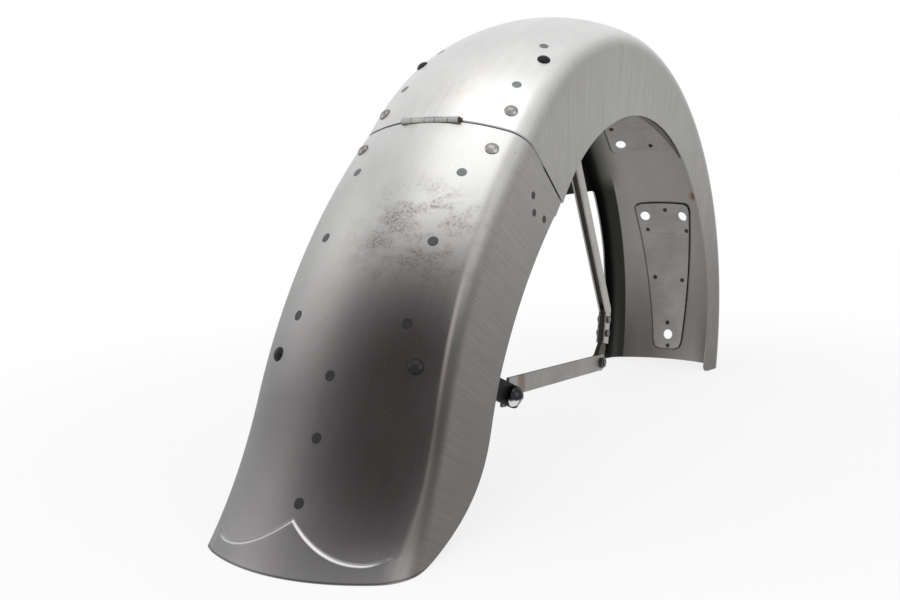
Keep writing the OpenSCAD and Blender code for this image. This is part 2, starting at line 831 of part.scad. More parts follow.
module hinge_tail_leaf() {
    color(rivet_steel)
        placed() {
            patch_loft(
                [for (i = [0:leaf_cuts])
                    let (a = tail_start_a + (web_gap + leaf_l*i/leaf_cuts)/tail_r*180/PI,
                        st = tail_turn(tail_station(tail_arc(a), a), i/leaf_cuts))
                    st],
                [for (i = [0:leaf_cuts]) leaf_half], leaf_from, leaf_to);
            knuckles(tail_knuckles, tail_knuckle_l, pin_r + pin_play, -1);
        }
}
pin_head_r = 2.6;
pin_head_h = 1;
module hinge_pin() {
    color(black_steel)
        placed()
            at_profile(hinge_p, seam_g)
                rotate([90, 0, 0]) {
                    cylinder(h = hinge_l, r = pin_r, center = true);
                    for (m = [0, 1])
                        mirror([0, 0, m])
                            translate([0, 0, hinge_l/2]) cylinder(h = pin_head_h, r = pin_head_r);
                }
}

// Dome rivets through the shells and what lies under them
module front_rivets() {
    color(rivet_steel) placed() at_rivets(front_rivet_spots) dome_rivet(strap_to);
}
module tail_rivets() {
    color(rivet_steel)
        placed() {
            at_rivets([tail_rivet_spots[0]]) dome_rivet(strap_to);
            at_rivets([tail_rivet_spots[1]]) dome_rivet(strap_from + bracket_t);
        }
}

front_section();
tail_section();
hinge_front_leaf();
hinge_tail_leaf();
hinge_pin();
front_seam_strap();
tail_seam_strap();
brace_hoop();
upper_leg_left();
upper_leg_right();
leg_end_left();
leg_end_right();
leg_rivets();
lower_link_left();
lower_link_right();
tail_bracket();
link_bolts();
link_nuts();
pivot_bolts();
pivot_nuts();
mounting_plate();
saddle_plate();
side_tongues();
arch_doubler();
front_rivets();
tail_rivets();
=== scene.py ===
from math import acos, asin, cos, degrees, pi, radians, sin, sqrt

import bmesh
import bpy
from mathutils import Matrix, Vector
from mathutils.bvhtree import BVHTree


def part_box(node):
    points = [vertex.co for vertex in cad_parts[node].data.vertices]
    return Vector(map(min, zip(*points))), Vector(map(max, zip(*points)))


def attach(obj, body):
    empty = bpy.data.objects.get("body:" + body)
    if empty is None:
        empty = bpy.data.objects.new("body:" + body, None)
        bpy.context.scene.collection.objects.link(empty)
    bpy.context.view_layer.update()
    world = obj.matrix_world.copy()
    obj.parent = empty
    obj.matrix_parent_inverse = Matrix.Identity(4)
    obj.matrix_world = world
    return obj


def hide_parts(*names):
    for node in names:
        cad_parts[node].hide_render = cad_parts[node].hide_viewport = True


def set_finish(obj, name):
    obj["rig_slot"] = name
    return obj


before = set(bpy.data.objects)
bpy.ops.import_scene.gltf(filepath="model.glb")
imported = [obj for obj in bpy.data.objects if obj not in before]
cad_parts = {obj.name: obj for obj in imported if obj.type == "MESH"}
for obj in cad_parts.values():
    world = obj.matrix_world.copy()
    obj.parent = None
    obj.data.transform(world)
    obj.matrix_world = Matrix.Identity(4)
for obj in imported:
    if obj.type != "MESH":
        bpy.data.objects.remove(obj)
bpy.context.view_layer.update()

# The pressed shells, in metres and degrees, as the frame has them
shell = {
    "crownRadius": 0.365, "wheelHeight": 0.096, "crossRadius": 0.180, "sheet": 0.002,
    "cornerRadius": 0.026, "footCornerRadius": 0.017,
    "frontHalfWidth": 0.089, "seamHalfWidth": 0.090, "tailHalfWidth": 0.098,
    "lean": 0.022, "leanDepth": 0.080,
    "archRadius": 0.265, "archAhead": 0.032, "archBelow": 0.009,
    "frontDepth": 0.118, "softWidth": 0.006, "leastWall": 0.001,
    "chainTop": 0.256, "chainFront": 0.317, "chainCorner": 0.046, "chainRise": 0.006,
    "seamAngle": 137.4, "seamGap": 0.0030,
    "tailStart": 39, "tailRadius": 0.554, "tailTurn": 29, "flareRadius": 0.540,
    "levelBelow": 0.120, "tailDepthTop": 0.114, "tailDepth": 0.104, "tailDepthFoot": 0.047,
    "tailCorner": 0.116,
    "footRound": {-1: 0.010, 1: 0.005}, "footRise": 0.014, "footFlare": 0.014, "footFlareTop": 0.075,
}
wheel = Vector((0, shell["wheelHeight"]))


def mix(a, b, k):
    return a + (b - a)*k


def smooth(k):
    k = min(1, max(0, k))
    return k*k*(3 - 2*k)


def onWheel(angle):  # side profile point [x, z] on the front section's crown
    a = radians(angle)
    return wheel + shell["crownRadius"]*Vector((cos(a), sin(a)))


def inward(angle):  # direction that many degrees below the horizontal
    a = radians(angle)
    return Vector((cos(a), -sin(a)))


frontEnd = -degrees(asin(shell["wheelHeight"]/shell["crownRadius"]))
seamPoint = onWheel(shell["seamAngle"])
seamLean = 180 - shell["seamAngle"]
tailMid = shell["tailStart"] + shell["tailTurn"]


def alongArc(centre, radius, slope):
    s = radians(slope)
    return centre + radius*Vector((-sin(s), cos(s)))


startSlope = radians(shell["tailStart"])
tailCentre = seamPoint + shell["tailRadius"]*Vector((sin(startSlope), -cos(startSlope)))
tailMidPoint = alongArc(tailCentre, shell["tailRadius"], tailMid)
flareCentre = alongArc(tailMidPoint, shell["flareRadius"], tailMid)
flareTop = tailMidPoint.y


def onFlare(height):
    slope = acos((flareCentre.y - height)/shell["flareRadius"])
    return Vector((flareCentre.x + shell["flareRadius"]*sin(slope), height)), degrees(slope)


middleX = (shell["crownRadius"] + onFlare(0)[0].x)/2  # the frame is centred over its footprint
archCentre = wheel + Vector((shell["archAhead"], -shell["archBelow"]))


def circleDepth(point, direction, centre, radius):
    q = point - centre
    b = q.dot(direction)
    return -b - sqrt(b*b - (q.dot(q) - radius*radius))


def softMin(a, b):
    return (a + b - sqrt((a - b)**2 + shell["softWidth"]**2))/2


def chainDepth(point, direction):
    flat = (point.y - shell["chainTop"])/max(-direction.y, 0.0001)
    ahead = (point.x - shell["chainFront"])/-direction.x if direction.x < 0 else 0
    depth = max(flat, ahead, 0)
    hit = point + depth*direction
    corner = Vector((shell["chainFront"], shell["chainTop"])) - Vector((1, 1))*shell["chainCorner"]
    if hit.x > corner.x and hit.y > corner.y:
        return circleDepth(point, direction, corner, shell["chainCorner"])
    return ahead if point.y < corner.y else depth


def station(point, lean, halfWidth, right, left, slope, corner, flare=0):
    return {"point": point, "inward": inward(lean), "halfWidth": halfWidth,
            "depth": {-1: right, 1: left}, "slope": slope, "corner": {-1: corner + flare, 1: corner}}


def footLoss(side, height):  # the foot of a wall is rounded off
    radius = shell["footRound"][side]
    if height >= radius:
        return 0
    return radius - sqrt(max(0, radius**2 - (radius - height)**2))


def frontStation(angle):
    k = (angle - frontEnd)/(shell["seamAngle"] - frontEnd)
    point = onWheel(angle)
    lean = 180 - max(angle, 0)
    direction = inward(lean)
    right = softMin(circleDepth(point, direction, archCentre, shell["archRadius"]), shell["frontDepth"])
    chainLimit = shell["frontDepth"] + shell["chainRise"]*(shell["seamAngle"] - angle)
    left = softMin(chainDepth(point, direction), chainLimit)
    return station(point, lean, mix(shell["frontHalfWidth"], shell["seamHalfWidth"], k),
                   right - footLoss(-1, point.y), left - footLoss(1, point.y),
                   shell["lean"]/shell["leanDepth"]*(1 - k), shell["cornerRadius"])


def tailStation(point, slope, turn):
    k = (seamPoint.y - point.y)/seamPoint.y
    lean = (90 - slope)*min(1, point.y/shell["levelBelow"])
    deep = mix(shell["tailDepthTop"], shell["tailDepth"], min(1, 2*k))
    if point.y < shell["tailCorner"]:
        rise = 1 - point.y/shell["tailCorner"]
        deep = shell["tailDepthFoot"] + (deep - shell["tailDepthFoot"])*sqrt(1 - rise*rise)
    corner = mix(shell["cornerRadius"], shell["footCornerRadius"], smooth(k))
    flare = shell["footFlare"]*smooth(1 - point.y/shell["footFlareTop"])
    return station(point, mix(seamLean, lean, min(1, turn)),
                   mix(shell["seamHalfWidth"], shell["tailHalfWidth"], k), deep, deep, 0, corner, flare)


gapDegrees = degrees(shell["seamGap"]/2/shell["crownRadius"])
tailGapDegrees = degrees(shell["seamGap"]/2/shell["tailRadius"])


def frontStations(footRows, upperRows):  # rows stand closer where the feet of the walls are rounded
    last = shell["seamAngle"] - gapDegrees
    footTop = frontEnd + degrees(shell["footRise"]/shell["crownRadius"])
    angles = [mix(frontEnd, footTop, i/footRows) for i in range(footRows)]
    angles += [mix(footTop, last, i/upperRows) for i in range(upperRows + 1)]
    return [frontStation(a) for a in angles]


def tailStations(upperRows, flareRows):
    made = []
    for i in range(upperRows + 1):
        slope = mix(shell["tailStart"] + tailGapDegrees, tailMid, i/upperRows)
        made.append(tailStation(alongArc(tailCentre, shell["tailRadius"], slope), slope, 2*i/upperRows))
    for i in range(1, flareRows + 1):
        height = flareTop*(1 - sin(i/flareRows*pi/2))
        point, slope = onFlare(max(height, 0))
        made.append(tailStation(point, slope, 1))
    return made


# How many columns cross half of the crown, one corner and one wall, and how many rows run along
columns = {"crown": 52, "corner": 8, "wall": 14}
rows = {"foot": 14, "front": 196, "tail": 90, "flare": 130}
halfColumns = sum(columns.values())


def sectionPoint(st, column):  # column counts out from the crown's middle line
    side = 1 if column >= 0 else -1
    n = abs(column)
    corner = st["corner"][side]
    cross = shell["crossRadius"]
    reach = cross - corner
    sideways = st["halfWidth"] - corner
    turn = asin(sideways/reach)
    cornerDepth = cross - reach*cos(turn)
    if n <= columns["crown"]:
        a = turn*n/columns["crown"]
        depth, y, wall = cross*(1 - cos(a)), cross*sin(a), 0
    elif n <= columns["crown"] + columns["corner"]:
        k = (n - columns["crown"])/columns["corner"]
        a = mix(turn, pi/2, k)
        depth, y, wall = cornerDepth - corner*cos(a), sideways + corner*sin(a), k
    else:
        k = (n - columns["crown"] - columns["corner"])/columns["wall"]
        depth = mix(cornerDepth, max(st["depth"][side], cornerDepth + shell["leastWall"]), k)
        y, wall = st["halfWidth"] - st["slope"]*(depth - cornerDepth), 1
    at = st["point"] + depth*st["inward"]
    return Vector((at.x - middleX, side*y, at.y)), wall


def placed(name, data):  # a new object in the scene
    thing = bpy.data.objects.new(name, data)
    bpy.context.scene.collection.objects.link(thing)
    return thing


def meshOf(name, bm):
    mesh = bpy.data.meshes.new(name)
    bm.to_mesh(mesh)
    bm.free()
    return mesh


def joined(name, bm, body, slot, *nodes):  # a finished bmesh becomes a piece on its body
    piece = placed(name, meshOf(name, bm))
    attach(piece, body)
    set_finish(piece, slot)
    if nodes:
        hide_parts(*nodes)
    return piece


def bakeModifiers(piece):
    graph = bpy.context.evaluated_depsgraph_get()
    mesh = bpy.data.meshes.new_from_object(piece.evaluated_get(graph))
    piece.modifiers.clear()
    old = piece.data
    piece.data = mesh
    bpy.data.meshes.remove(old)


def shadeSmooth(piece, angle):
    piece.data.shade_smooth()
    piece.data.set_sharp_from_angle(angle=radians(angle))


def easeEdges(piece, width, angle, smoothAngle):
    edge = piece.modifiers.new("easedEdge", "BEVEL")
    edge.limit_method = "ANGLE"
    edge.angle_limit = radians(angle)
    edge.width = width
    edge.segments = 2
    edge.harden_normals = True
    shadeSmooth(piece, smoothAngle)


def cut(piece, make):  # the shape that cuts is removed again after the cut
    bm = bmesh.new()
    make(bm)
    tool = placed(piece.name + "Cutter", meshOf(piece.name + "Cutter", bm))
    holes = piece.modifiers.new("holes", "BOOLEAN")
    holes.operation = "DIFFERENCE"
    holes.solver = "EXACT"
    holes.object = tool
    bakeModifiers(piece)
    bpy.data.objects.remove(tool)


def onCrown(point, lean, y):  # a frame on the crown whose Z points out of the surface
    a = asin(y/shell["crossRadius"])
    d = inward(lean)
    down = Vector((d.x, 0, d.y))
    out = -(down*cos(a)) + Vector((0, sin(a), 0))
    drop = shell["crossRadius"]*(1 - cos(a))
    place = Vector((point.x - middleX, y, point.y)) + down*drop
    along = Vector((0, 1, 0)).cross(out).normalized()
    return Matrix.Translation(place) @ Matrix((along, out.cross(along), out)).transposed().to_4x4()


# The flared lip stands a little proud below two scallops that meet in a point
lipStep = {"proud": 0.0019, "width": 0.0024, "low": 0.0120, "peak": 0.0365, "lobe": 0.066,
           "power": 1.9, "flat": 0.55, "endRise": 0.0032, "endSpan": 0.015,
           "fadeFrom": 0.079, "fadeTo": 0.089}


def lipProud(y, height):
    y = abs(y)
    s = lipStep
    if y < s["lobe"]:
        line = s["low"] + (s["peak"] - s["low"])*((s["lobe"] - y)/s["lobe"])**s["power"]
    else:
        line = s["low"] + s["endRise"]*((y - s["lobe"])/s["endSpan"])**2
    step = smooth((line + s["width"]/2 - height)/s["width"])
    fade = 1 - smooth((y - s["fadeFrom"])/(s["fadeTo"] - s["fadeFrom"]))
    return s["proud"]*step*fade*mix(s["flat"], 1, smooth(height/line))


def pressedShell(name, stations, body, node, proud=None):
    last = len(stations) - 1
    bm = bmesh.new()
    bmesh.ops.create_grid(bm, x_segments=2*halfColumns, y_segments=last, size=1)
    wallLayer = bm.verts.layers.float.new("wall")
    for v in bm.verts:
        column = round(v.co.x*halfColumns)
        row = round((v.co.y + 1)/2*last)
        v.co, v[wallLayer] = sectionPoint(stations[row], column)
    bmesh.ops.recalc_face_normals(bm, faces=bm.faces)
    bm.normal_update()
    middle = min(bm.verts, key=lambda v: abs(v.co.y))
    if middle.normal.dot(middle.co - Vector((-middleX, 0, shell["wheelHeight"]))) < 0:
        bmesh.ops.reverse_faces(bm, faces=bm.faces)
        bm.normal_update()
    if proud:
        for v in bm.verts:
            v.co += v.normal*proud(v.co.y, v.co.z)
    piece = joined(name, bm, body, "shell_steel", node)
    for part in ("Outside", "Inside"):
        piece.data.materials.append(bpy.data.materials.new(name + part))
    wall = piece.modifiers.new("sheet", "SOLIDIFY")
    wall.thickness = shell["sheet"]
    wall.offset = -1
    wall.use_even_offset = True
    wall.material_offset = 1  # the inside of the sheet takes the second finish
    bakeModifiers(piece)
    return piece


def skinTree(piece):  # answers where the skin is nearest to a point, and which way it faces
    return BVHTree.FromObject(piece, bpy.context.evaluated_depsgraph_get())


def seated(tree, near, lift=0.0):
    place, facing, _, _ = tree.find_nearest(near)
    along = Vector((0, 1, 0)).cross(facing).normalized()
    turn = Matrix((along, facing.cross(along), facing)).transposed().to_4x4()
    return Matrix.Translation(place + facing*lift) @ turn


print("shells")
frontSkin = pressedShell("frontSkin", frontStations(rows["foot"], rows["front"]), "front", "front_section")
tailSkin = pressedShell("tailSkin", tailStations(rows["tail"], rows["flare"]), "tail", "tail_section",
                        lipProud)
frontTree = skinTree(frontSkin)
tailTree = skinTree(tailSkin)

# Holes for the frame bolts, and the notch under the hinge
boltHoles = {"radius": 0.0078, "reach": 0.04, "plateAngle": 19.7, "plateY": 0.0297,
             "lowAngle": -9.4, "saddleAngle": 39.3, "saddleY": 0.0424}
hinge = {"halfLength": 0.03025, "clear": 0.0014, "notch": 0.0041, "out": 0.010, "inside": 0.012}


def boltHoleCutters(bm):
    h = boltHoles
    for angle, y in ((h["plateAngle"], h["plateY"]), (h["plateAngle"], -h["plateY"]), (h["lowAngle"], 0),
                     (h["saddleAngle"], h["saddleY"]), (h["saddleAngle"], -h["saddleY"])):
        bmesh.ops.create_cone(bm, cap_ends=True, segments=48, radius1=h["radius"], radius2=h["radius"],
                              depth=h["reach"], matrix=onCrown(onWheel(angle), 180 - angle, y))


def hingeNotch(bm):
    d = inward(seamLean)
    down = Vector((d.x, 0, d.y))
    along = Vector((0, 1, 0)).cross(down)
    half = hinge["halfLength"] + hinge["clear"]
    centre = Vector((seamPoint.x - middleX, 0, seamPoint.y)) + down*(hinge["inside"] - hinge["out"])/2
    size = Matrix.Diagonal((hinge["inside"] + hinge["out"], 2*half, 2*hinge["notch"], 1))
    turn = Matrix((down, Vector((0, 1, 0)), -along)).transposed().to_4x4()
    bmesh.ops.create_cube(bm, size=1, matrix=Matrix.Translation(centre) @ turn @ size)


def frontCuts(bm):
    boltHoleCutters(bm)
    hingeNotch(bm)


cut(frontSkin, frontCuts)
cut(tailSkin, hingeNotch)
cutEdge = {"width": 0.0003, "angle": 50, "smooth": 35}
for piece in (frontSkin, tailSkin):
    easeEdges(piece, cutEdge["width"], cutEdge["angle"], cutEdge["smooth"])

# Dome rivets on the crown
rivet = {"radius": 0.0062, "height": 0.0033, "rim": 0.0007, "seat": 0.0001, "y": 0.069,
         "hoopAngle": 119.8, "hoopLean": 65.8, "strapIn": 0.024, "tailStrapIn": 0.025,
         "bracketHeight": 0.153, "bracketLean": 22.4,
         "inner": ((0.0, -0.001), (0.003, -0.001), (0.003, -0.0078), (0.0046, -0.0079),
                   (0.0043, -0.0092), (0.0024, -0.0097), (0.0, -0.0098))}
mergeDistance = 0.00002


def spunProfile(bm, points, matrix, segments=40):  # points are [radius, height] from the axis out
    before = set(bm.verts)
    verts = [bm.verts.new(Vector((r, 0, z))) for r, z in points]
    edges = [bm.edges.new(pair) for pair in zip(verts, verts[1:])]
    bmesh.ops.spin(bm, geom=verts + edges, axis=(0, 0, 1), cent=(0, 0, 0), steps=segments,
                   angle=2*pi, use_merge=True)
    made = [v for v in bm.verts if v not in before]
    bmesh.ops.remove_doubles(bm, verts=made, dist=mergeDistance)
    made = [v for v in bm.verts if v not in before]
    faces = [f for f in bm.faces if all(v in set(made) for v in f.verts)]
    bmesh.ops.recalc_face_normals(bm, faces=faces)
    bmesh.ops.transform(bm, matrix=matrix, verts=made)


def domeProfile(radius, height, rim, steps=9):
    ball = (radius*radius + height*height)/(2*height)
    top = asin(radius/ball)
    points = [(0.0, rim + height)]
    for i in range(1, steps + 1):
        a = top*i/steps
        points.append((ball*sin(a), rim + height - ball*(1 - cos(a))))
    return points + [(radius + 0.00015, rim*0.6), (radius + 0.0001, rim*0.2), (radius - 0.0002, 0.0),
                     (0.0, 0.0)]


def rivetPair(name, point, lean, body, node, tree, finish):
    bm = bmesh.new()
    for side in (-1, 1):
        near = onCrown(point, lean, side*rivet["y"]).translation
        seat = seated(tree, near, rivet["seat"])
        spunProfile(bm, domeProfile(rivet["radius"], rivet["height"] - rivet["rim"], rivet["rim"]), seat)
        spunProfile(bm, rivet["inner"], seat, 24)
    piece = joined(name, bm, body, "rivet_steel", node)
    piece["finish"] = finish
    shadeSmooth(piece, 40)
    return piece


print("rivets")
strapAngle = shell["seamAngle"] - degrees(rivet["strapIn"]/shell["crownRadius"])
tailStrapSlope = shell["tailStart"] + degrees(rivet["tailStrapIn"]/shell["tailRadius"])
bracketSlope = degrees(acos((rivet["bracketHeight"] - tailCentre.y)/shell["tailRadius"]))
rivetPieces = [
    rivetPair("hoopRivets", onWheel(rivet["hoopAngle"]), rivet["hoopLean"], "front", "front_rivets",
              frontTree, "darkRivet"),
    rivetPair("frontStrapRivets", onWheel(strapAngle), 180 - strapAngle, "front", "front_rivets",
              frontTree, "lightRivet"),
    rivetPair("tailStrapRivets", alongArc(tailCentre, shell["tailRadius"], tailStrapSlope),
              90 - tailStrapSlope, "tail", "tail_rivets", tailTree, "lightRivet"),
    rivetPair("bracketRivets", alongArc(tailCentre, shell["tailRadius"], bracketSlope),
              rivet["bracketLean"], "tail", "tail_rivets", tailTree, "darkRivet")]


def tailAt(height):  # crown point and inward lean at a height on the tail
    if height > flareTop:
        slope = degrees(acos((height - tailCentre.y)/shell["tailRadius"]))
        return alongArc(tailCentre, shell["tailRadius"], slope), 90 - slope
    point, slope = onFlare(height)
    return point, (90 - slope)*min(1, height/shell["levelBelow"])


# Flush weld plugs that hold the straps and plates, as heights on the tail or angles on the front
plugs = {"radius": 0.0047, "proud": 0.00025, "small": 0.0033, "wall": 0.0037,
         "tailRows": ((0.303, 0.055), (0.247, 0.055), (0.184, 0.055)),
         "tailMiddle": (0.1390, 0.0930, 0.0475),
         "frontRows": ((116.0, 0.059), (128.0, 0.062)),
         "tailWall": ((-0.1755, 0.2745), (-0.1748, 0.2588), (-0.1550, 0.2515)),
         "plate": ((21.2, -0.003), (16.3, 0.0277), (16.2, -0.0348), (4.4, 0.0215), (3.9, -0.0227),
                   (-6.6, 0.0012), (-12.1, -0.001)),
         "saddle": ((44.2, 0.0478), (38.4, -0.0012), (44.2, -0.0478))}


def plug(bm, matrix, radius):
    p = plugs["proud"]
    spunProfile(bm, [(0.0, p*0.7), (radius*0.55, p*0.8), (radius*0.8, p), (radius*0.95, p*0.8),
                     (radius, -p), (0.0, -p)], matrix, 28)


def plugPiece(name, matrices, radius, body):
    bm = bmesh.new()
    for m in matrices:
        plug(bm, m, radius)
    piece = joined(name, bm, body, "rivet_steel")
    shadeSmooth(piece, 50)
    return piece


print("weld plugs")
tailPlaces = [onCrown(*tailAt(h), side*y).translation for h, y in plugs["tailRows"] for side in (-1, 1)]
tailPlaces += [onCrown(*tailAt(h), 0).translation for h in plugs["tailMiddle"]]
wallPlaces = [Vector((x, side*shell["seamHalfWidth"], z)) for x, z in plugs["tailWall"] for side in (-1, 1)]
frontPlaces = [onCrown(onWheel(a), 180 - a, side*y).translation
               for a, y in plugs["frontRows"] for side in (-1, 1)]
tailPlugPiece = plugPiece("tailWeldPlugs", [seated(tailTree, p) for p in tailPlaces],
                          plugs["radius"], "tail")
wallPlugPiece = plugPiece("tailWallPlugs", [seated(tailTree, p) for p in wallPlaces],
                          plugs["wall"], "tail")
frontPlugPiece = plugPiece("frontWeldPlugs", [seated(frontTree, p) for p in frontPlaces],
                           plugs["radius"], "front")


def plateTree(node):
    bm = bmesh.new()
    bm.from_mesh(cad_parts[node].data)
    return BVHTree.FromBMesh(bm)


innerPlate = {"lap": 0.0003, "thick": 0.0025}
plateTop = shell["sheet"] + innerPlate["lap"] + innerPlate["thick"]


def innerPlug(tree, angle, y):
    seat = onCrown(onWheel(angle), 180 - angle, y)
    return seated(tree, seat @ Vector((0, 0, -plateTop)))


mountTree, saddleTree = plateTree("mounting_plate"), plateTree("saddle_plate")
innerPlugPiece = plugPiece("innerWeldPlugs",
                           [innerPlug(mountTree, a, y) for a, y in plugs["plate"]]
                           + [innerPlug(saddleTree, a, y) for a, y in plugs["saddle"]],
                           plugs["small"], "front")


# How far a CAD part's mesh is cleaned before its edges are eased
easing = {"weld": 0.000004, "flat": 0.6, "angle": 28}


def softened(part, body, slot, width):  # a CAD part with its edges eased
    bm = bmesh.new()
    bm.from_mesh(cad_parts[part].data)
    bmesh.ops.remove_doubles(bm, verts=bm.verts, dist=easing["weld"])
    bmesh.ops.dissolve_limit(bm, angle_limit=radians(easing["flat"]), verts=bm.verts, edges=bm.edges)
    name = "".join(w.capitalize() if i else w for i, w in enumerate(part.split("_"))) + "Eased"
    piece = joined(name, bm, body, slot, part)
    easeEdges(piece, width, easing["angle"], easing["angle"])
    return piece


print("braces, plates and hinge")
eased = {}
for part, body, slot, width in (
        ("hinge_front_leaf", "front", "hinge_steel", 0.00035),
        ("hinge_tail_leaf", "tail", "hinge_steel", 0.00035),
        ("hinge_pin", "front", "dark_steel", 0.0003),
        ("front_seam_strap", "front", "plate_steel", 0.0004),
        ("tail_seam_strap", "tail", "plate_steel", 0.0004),
        ("brace_hoop", "front", "plate_steel", 0.0004),
        ("upper_leg_left", "front", "plate_steel", 0.0005),
        ("upper_leg_right", "front", "plate_steel", 0.0005),
        ("leg_end_left", "front", "dark_steel", 0.0006),
        ("leg_end_right", "front", "dark_steel", 0.0006),
        ("leg_rivets", "front", "rivet_steel", 0.0007),
        ("lower_link_left", "front", "plate_steel", 0.0006),
        ("lower_link_right", "front", "plate_steel", 0.0006),
        ("tail_bracket", "tail", "black_paint", 0.0006),
        ("link_nuts", "tail", "rivet_steel", 0.0005),
        ("pivot_bolts", "front", "rivet_steel", 0.0005),
        ("pivot_nuts", "front", "rivet_steel", 0.0005),
        ("mounting_plate", "front", "plate_steel", 0.0006),
        ("saddle_plate", "front", "plate_steel", 0.0006),
        ("side_tongues", "tail", "plate_steel", 0.0003),
        ("arch_doubler", "front", "plate_steel", 0.0004)):
    eased[part] = softened(part, body, slot, width)


# Polished dome bolts through the bracket tabs
domeBolt = {"radius": 0.0096, "height": 0.0098, "rim": 0.0010, "shank": 0.004, "length": 0.0175,
            "cadDome": 0.0075, "chamfer": 0.0006}


def domeBolts():
    low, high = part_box("link_bolts")
    x = (low.x + high.x)/2
    z = (low.z + high.z)/2
    bm = bmesh.new()
    for side in (-1, 1):
        seat = side*(high.y - domeBolt["cadDome"])
        turn = Matrix.Rotation(radians(-90*side), 4, "X")
        at = Matrix.Translation((x, seat, z)) @ turn
        shank, length, chamfer = (domeBolt[k] for k in ("shank", "length", "chamfer"))
        spunProfile(bm, domeProfile(domeBolt["radius"], domeBolt["height"] - domeBolt["rim"],
                                    domeBolt["rim"], 14), at, 56)
        spunProfile(bm, [(0.0, 0.0001), (shank, 0.0001), (shank, -length + chamfer),
                         (shank - chamfer, -length), (0.0, -length)], at, 36)
    piece = joined("domeBolts", bm, "tail", "bright_plate", "link_bolts")
    shadeSmooth(piece, 40)
    return piece


boltPiece = domeBolts()

# Finishes
print("finishes")


def metalTree(material, metallic, roughness):
    material.use_nodes = True
    tree = material.node_tree
    surface = tree.nodes["Principled BSDF"]
    surface.inputs["Metallic"].default_value = metallic
    surface.inputs["Roughness"].default_value = roughness
    return tree, surface


def node(tree, kind, **values):
    made = tree.nodes.new(kind)
    for key, value in values.items():
        if key in made.inputs:
            made.inputs[key].default_value = value
        else:
            setattr(made, key, value)
    return made


def maths(tree, operation, a, b=None, clamp=False):
    made = tree.nodes.new("ShaderNodeMath")
    made.operation = operation
    made.use_clamp = clamp
    for i, value in enumerate((a, b)):
        if value is None:
            continue
        if isinstance(value, (int, float)):
            made.inputs[i].default_value = value
        else:
            tree.links.new(value, made.inputs[i])
    return made.outputs[0]


def ranged(tree, value, low, high, toLow=0.0, toHigh=1.0):
    made = tree.nodes.new("ShaderNodeMapRange")
    made.interpolation_type = "SMOOTHSTEP"
    tree.links.new(value, made.inputs["Value"])
    made.inputs["From Min"].default_value = low
    made.inputs["From Max"].default_value = high
    made.inputs["To Min"].default_value = toLow
    made.inputs["To Max"].default_value = toHigh
    return made.outputs["Result"]


def objectPoint(tree):
    return tree.nodes.new("ShaderNodeTexCoord").outputs["Object"]


def mapped(tree, point, scale=(1, 1, 1), turn=(0, 0, 0), shift=(0, 0, 0)):
    made = tree.nodes.new("ShaderNodeMapping")
    made.inputs["Scale"].default_value = scale
    made.inputs["Rotation"].default_value = [radians(a) for a in turn]
    made.inputs["Location"].default_value = shift
    tree.links.new(point, made.inputs["Vector"])
    return made.outputs["Vector"]


def noise(tree, point, scale, detail=3.0, roughness=0.5):
    made = tree.nodes.new("ShaderNodeTexNoise")
    made.inputs["Scale"].default_value = scale
    made.inputs["Detail"].default_value = detail
    made.inputs["Roughness"].default_value = roughness
    tree.links.new(point, made.inputs["Vector"])
    return made.outputs["Fac"]


def times(tree, first, *others):
    for other in others:
        first = maths(tree, "MULTIPLY", first, other)
    return first


def between(tree, value, rise, fall):  # 1 from the end of the rise to the start of the fall
    return times(tree, ranged(tree, value, *rise), ranged(tree, value, *fall, 1.0, 0.0))


def axes(tree, vector):
    made = tree.nodes.new("ShaderNodeSeparateXYZ")
    tree.links.new(vector, made.inputs[0])
    return made.outputs


def lengthOf(tree, vector):
    made = tree.nodes.new("ShaderNodeVectorMath")
    made.operation = "LENGTH"
    tree.links.new(vector, made.inputs[0])
    return made.outputs["Value"]


def blob(tree, point, centre, size):  # 1 at a place, falling to 0 at its size
    moved = mapped(tree, point, scale=[1/s for s in size], shift=[-c/s for c, s in zip(centre, size)])
    return ranged(tree, lengthOf(tree, moved), 0.25, 1.0, 1.0, 0.0)


def tint(tree, factor, under, over):
    made = tree.nodes.new("ShaderNodeMix")
    made.data_type = "RGBA"
    if isinstance(factor, (int, float)):
        made.inputs[0].default_value = factor
    else:
        tree.links.new(factor, made.inputs[0])
    for socket, value in ((made.inputs[6], under), (made.inputs[7], over)):
        if isinstance(value, tuple):
            socket.default_value = (*value, 1)
        else:
            tree.links.new(value, socket)
    return made.outputs[2]


def bumped(tree, surface, height, distance, strength=0.5):
    made = tree.nodes.new("ShaderNodeBump")
    made.inputs["Distance"].default_value = distance
    made.inputs["Strength"].default_value = strength
    tree.links.new(height, made.inputs["Height"])
    tree.links.new(made.outputs["Normal"], surface.inputs["Normal"])


def lifted(tree, factor, amount):  # a factor around 0.5 becomes a change around 1
    return maths(tree, "ADD", times(tree, maths(tree, "SUBTRACT", factor, 0.5), amount), 1.0)


def scaledColor(tree, color, factor):
    made = tree.nodes.new("ShaderNodeVectorMath")
    made.operation = "SCALE"
    tree.links.new(color, made.inputs[0])
    tree.links.new(factor, made.inputs["Scale"])
    return made.outputs[0]


